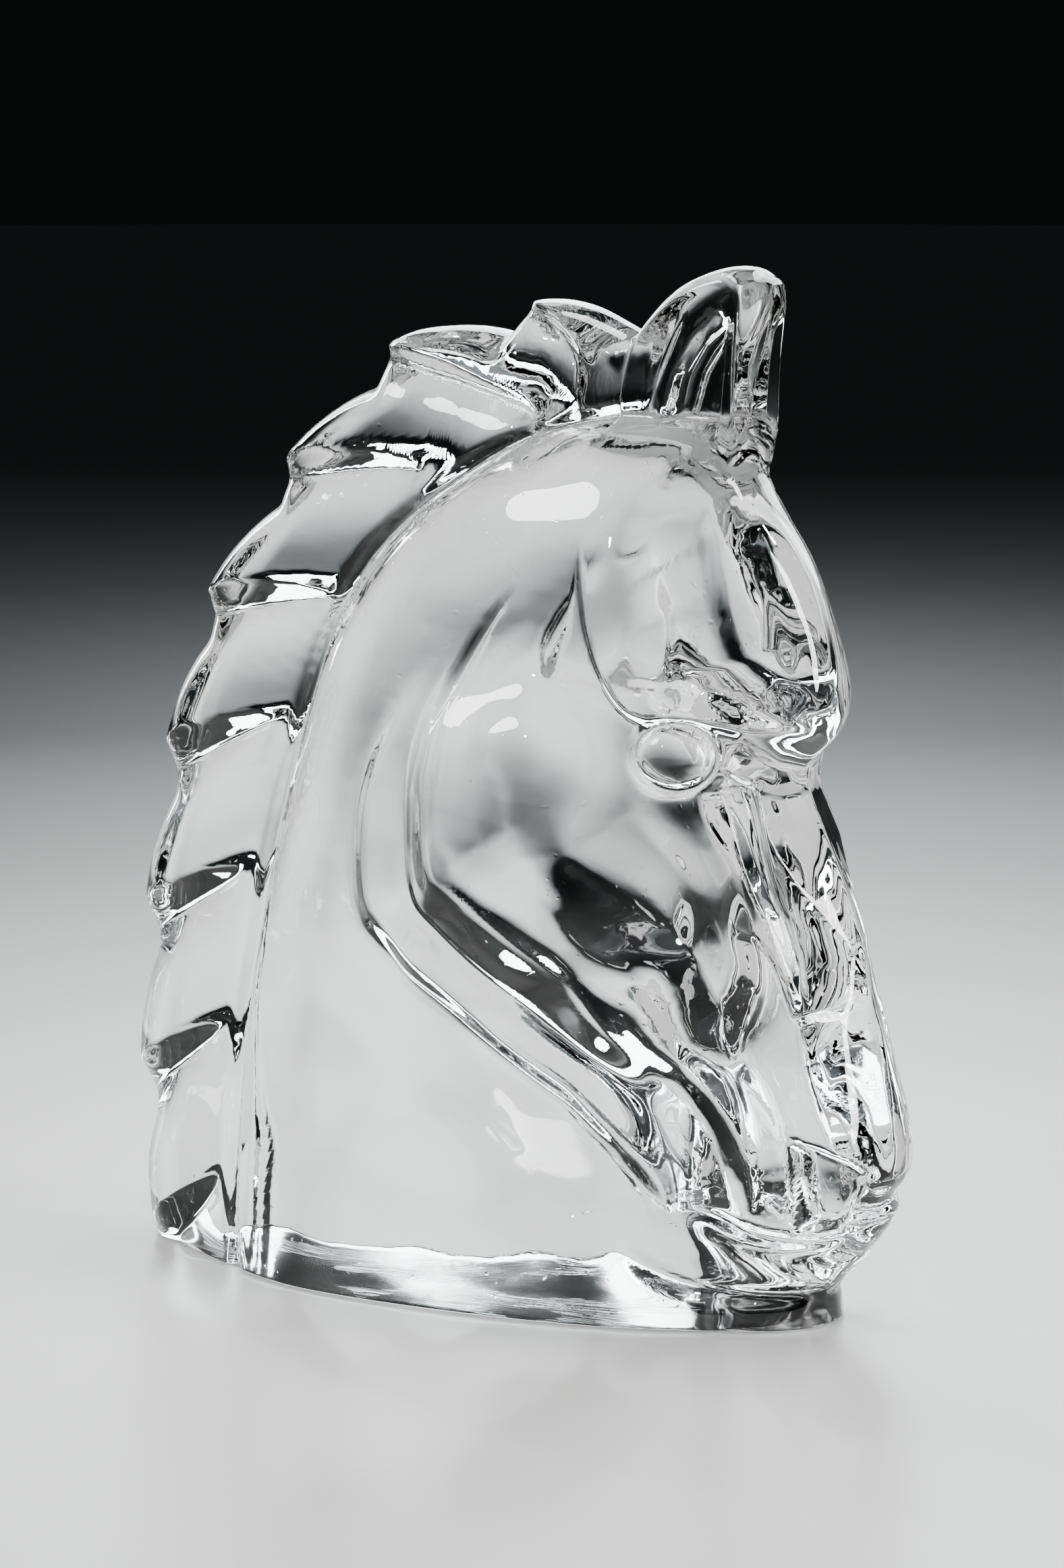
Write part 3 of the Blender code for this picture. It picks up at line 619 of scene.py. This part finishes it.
def crystal():
    """Clear fire-polished glass: see-through by plain values, with faint flow waves and hairlines."""
    material, tree, glass = new_material("clear_crystal")
    glass.inputs["Base Color"].default_value = (0.985, 0.996, 0.99, 1.0)
    glass.inputs["IOR"].default_value = CRYSTAL_IOR
    glass.inputs["Transmission Weight"].default_value = 1.0
    glass.inputs["Roughness"].default_value = 0.0
    waves = noise(tree, place_of(tree, (70.0, 70.0, 160.0)), 1.5)
    dents = noise(tree, place_of(tree, (320.0, 320.0, 420.0)), 1.0)
    flow = noise(tree, place_of(tree, (260.0, 260.0, 40.0)), 1.0)
    marks = hairlines(tree, (0.0, 0.3, 0.9), 0.008, 0.0005)
    marks = marks + hairlines(tree, (0.0, 1.2, 0.4), 0.006, 0.0006)
    specks = noise(tree, place_of(tree, (1100.0, 1100.0, 1100.0)), 0.0) - SPECK_BARE
    height = waves * WAVE_HEIGHT + dents * DENT_DEPTH + flow * FLOW_HEIGHT - marks * HAIRLINE_DEPTH
    height = height - specks.math("MAXIMUM", 0.0) * SPECK_DEPTH
    bump = node(tree, "ShaderNodeBump", {}, {"Strength": 0.35, "Distance": 1.0, "Height": height})
    tree.links.new(bump.socket, glass.inputs["Normal"])
    return material


def ground_foot():
    """The underside: ground flat and polished, with the arcs of the wheel left in it."""
    material, tree, glass = new_material("ground_foot")
    glass.inputs["Base Color"].default_value = (0.98, 0.99, 0.985, 1.0)
    glass.inputs["IOR"].default_value = CRYSTAL_IOR
    glass.inputs["Transmission Weight"].default_value = 1.0
    here = place_of(tree, (1.0, 1.0, 0.0))
    rings = node(tree, "ShaderNodeTexWave", {"wave_type": "RINGS", "rings_direction": "Z"},
                 {"Vector": here, "Scale": 240.0, "Distortion": 3.0, "Detail": 3.0, "Detail Scale": 1.0},
                 output="Fac")
    cloud = noise(tree, place_of(tree, (90.0, 90.0, 1.0)), 4.0)
    marks = hairlines(tree, (0.0, 0.0, 0.5), 0.02, 0.0009)
    marks = marks + hairlines(tree, (0.0, 0.0, 1.9), 0.02, 0.0011)
    rough = cloud * 0.10 + marks * 0.12 + 0.02
    tree.links.new(rough.socket, glass.inputs["Roughness"])
    height = rings * 0.000002 - marks * 0.00001
    bump = node(tree, "ShaderNodeBump", {}, {"Strength": 0.4, "Distance": 1.0, "Height": height})
    tree.links.new(bump.socket, glass.inputs["Normal"])
    return material


# Colour of the floor by the distance in metres, a pale pool round the glass that darkens into painted
# shade further out, and of the backdrop from straight down to straight up
FLOOR_PAINTED_SHADE = [
    (0.0, (0.36, 0.36, 0.35, 1.0)), (0.13, (0.33, 0.33, 0.32, 1.0)), (0.24, (0.22, 0.223, 0.217, 1.0)),
    (0.38, (0.11, 0.112, 0.11, 1.0)), (0.60, (0.018, 0.019, 0.019, 1.0)),
    (1.0, (0.006, 0.0065, 0.0065, 1.0)),
]
SKY_TONE = [
    (0.0, (0.005, 0.0055, 0.0055, 1.0)), (0.55, (0.008, 0.009, 0.009, 1.0)),
    (0.78, (0.05, 0.057, 0.06, 1.0)), (1.0, (0.35, 0.38, 0.40, 1.0)),
]
FLOOR_RADIUS = 8.0
FLOOR_GAP = 0.0003  # between the underside and the floor

# The three soft panels behind the glass that its clear parts look up into, and the points that glint
PANEL_TURNS = (-64.0, -28.0, 8.0)  # degrees to the side of straight behind
PANEL_AWAY = 1.3
PANEL_HEIGHT = 0.63
PANEL_SIZE = (0.84, 0.62)
PANEL_POWER = 7.5
PANEL_COLOUR = (0.93, 0.97, 1.0)
GLINTS = ((0.35, -0.55, 1.0), (-0.5, 0.45, 1.0), (0.75, 0.35, 0.85), (-0.2, -0.9, 0.5))
GLINT_SIZE = (0.03, 0.03)
GLINT_POWER = 3.0


def floor():
    """A pale floor with painted shade: its colour is a pale pool round the glass that darkens into
    painted shade with the distance.
    """
    bm = bmesh.new()
    bmesh.ops.create_circle(bm, cap_ends=True, segments=96, radius=FLOOR_RADIUS)
    mesh = bpy.data.meshes.new("floor")
    bm.to_mesh(mesh)
    bm.free()
    ground = bpy.data.objects.new("floor", mesh)
    bpy.context.scene.collection.objects.link(ground)
    ground.location.z = -FLOOR_GAP
    material, tree, paint = new_material("pale_floor_painted_shade")
    here = node(tree, "ShaderNodeTexCoord", {}, {}, output="Object")
    far = node(tree, "ShaderNodeVectorMath", {"operation": "LENGTH"}, {0: here}, output="Value")
    # painted shade: the floor's colour darkens with the distance from the glass, as a pool of light
    # would
    shade = node(tree, "ShaderNodeValToRGB", {"stops": FLOOR_PAINTED_SHADE}, {0: far})
    tree.links.new(shade.socket, paint.inputs["Base Color"])
    paint.inputs["Roughness"].default_value = 0.35
    mesh.materials.append(material)


def soft_light(name, place, aim, size, power, colour=(1.0, 1.0, 1.0)):
    light = bpy.data.lights.new(name, "AREA")
    light.shape = "ELLIPSE"
    light.size, light.size_y = size
    light.energy = power
    light.color = colour
    lamp = bpy.data.objects.new(name, light)
    bpy.context.scene.collection.objects.link(lamp)
    lamp.location = place
    lamp.rotation_euler = (Vector(aim) - Vector(place)).to_track_quat("-Z", "Y").to_euler()


def studio():
    world = bpy.data.worlds.new("studio")
    bpy.context.scene.world = world
    world.use_nodes = True
    tree = world.node_tree
    sky = tree.nodes["Background"]
    here = node(tree, "ShaderNodeTexCoord", {}, {}, output="Generated")
    height = node(tree, "ShaderNodeSeparateXYZ", {}, {0: here}, output="Z")
    tone = node(tree, "ShaderNodeValToRGB", {"stops": SKY_TONE}, {0: height * 0.5 + 0.5})
    tree.links.new(tone.socket, sky.inputs["Color"])
    centre = (0.0, 0.0, 0.06)
    soft_light("key", (-0.62, -0.72, 0.72), centre, (0.42, 0.3), 7.0)
    soft_light("top", (0.1, 0.2, 1.1), centre, (0.62, 0.4), 9.0)
    soft_light("left_strip", (-0.85, 0.2, 0.45), centre, (0.14, 0.7), 7.0)
    soft_light("right_strip", (0.9, 0.1, 0.45), centre, (0.14, 0.7), 7.0)
    for turn in PANEL_TURNS:
        across, back = math.sin(math.radians(turn)), math.cos(math.radians(turn))
        place = (PANEL_AWAY * across, PANEL_AWAY * back, PANEL_HEIGHT)
        soft_light("behind", place, centre, PANEL_SIZE, PANEL_POWER, PANEL_COLOUR)
    for place in GLINTS:
        soft_light("sparkle", place, centre, GLINT_SIZE, GLINT_POWER)
    bpy.context.scene.view_settings.look = "AgX - Medium High Contrast"


def camera():
    """The photograph's view: turned from the side toward the face, a little above, a long lens."""
    eye = Vector((0.3233, -0.5323, 0.1564))
    forward = Vector((-0.5100, 0.8488, -0.1392)).normalized()
    right = forward.cross(Vector((0.0, 0.0, 1.0))).normalized()
    up = right.cross(forward)
    lens = bpy.data.cameras.new("camera")
    lens.lens = 105.3
    lens.sensor_width = 36.0
    lens.clip_start = 0.01
    stand = bpy.data.objects.new("camera", lens)
    bpy.context.scene.collection.objects.link(stand)
    stand.matrix_world = Matrix.Translation(eye) @ Matrix((right, up, -forward)).transposed().to_4x4()
    bpy.context.scene.camera = stand


def main():
    piece = horse_head()
    piece.data.materials.append(crystal())
    piece.data.materials.append(ground_foot())
    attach(piece, "root")
    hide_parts("horse_head")
    floor()
    studio()
    camera()


main()
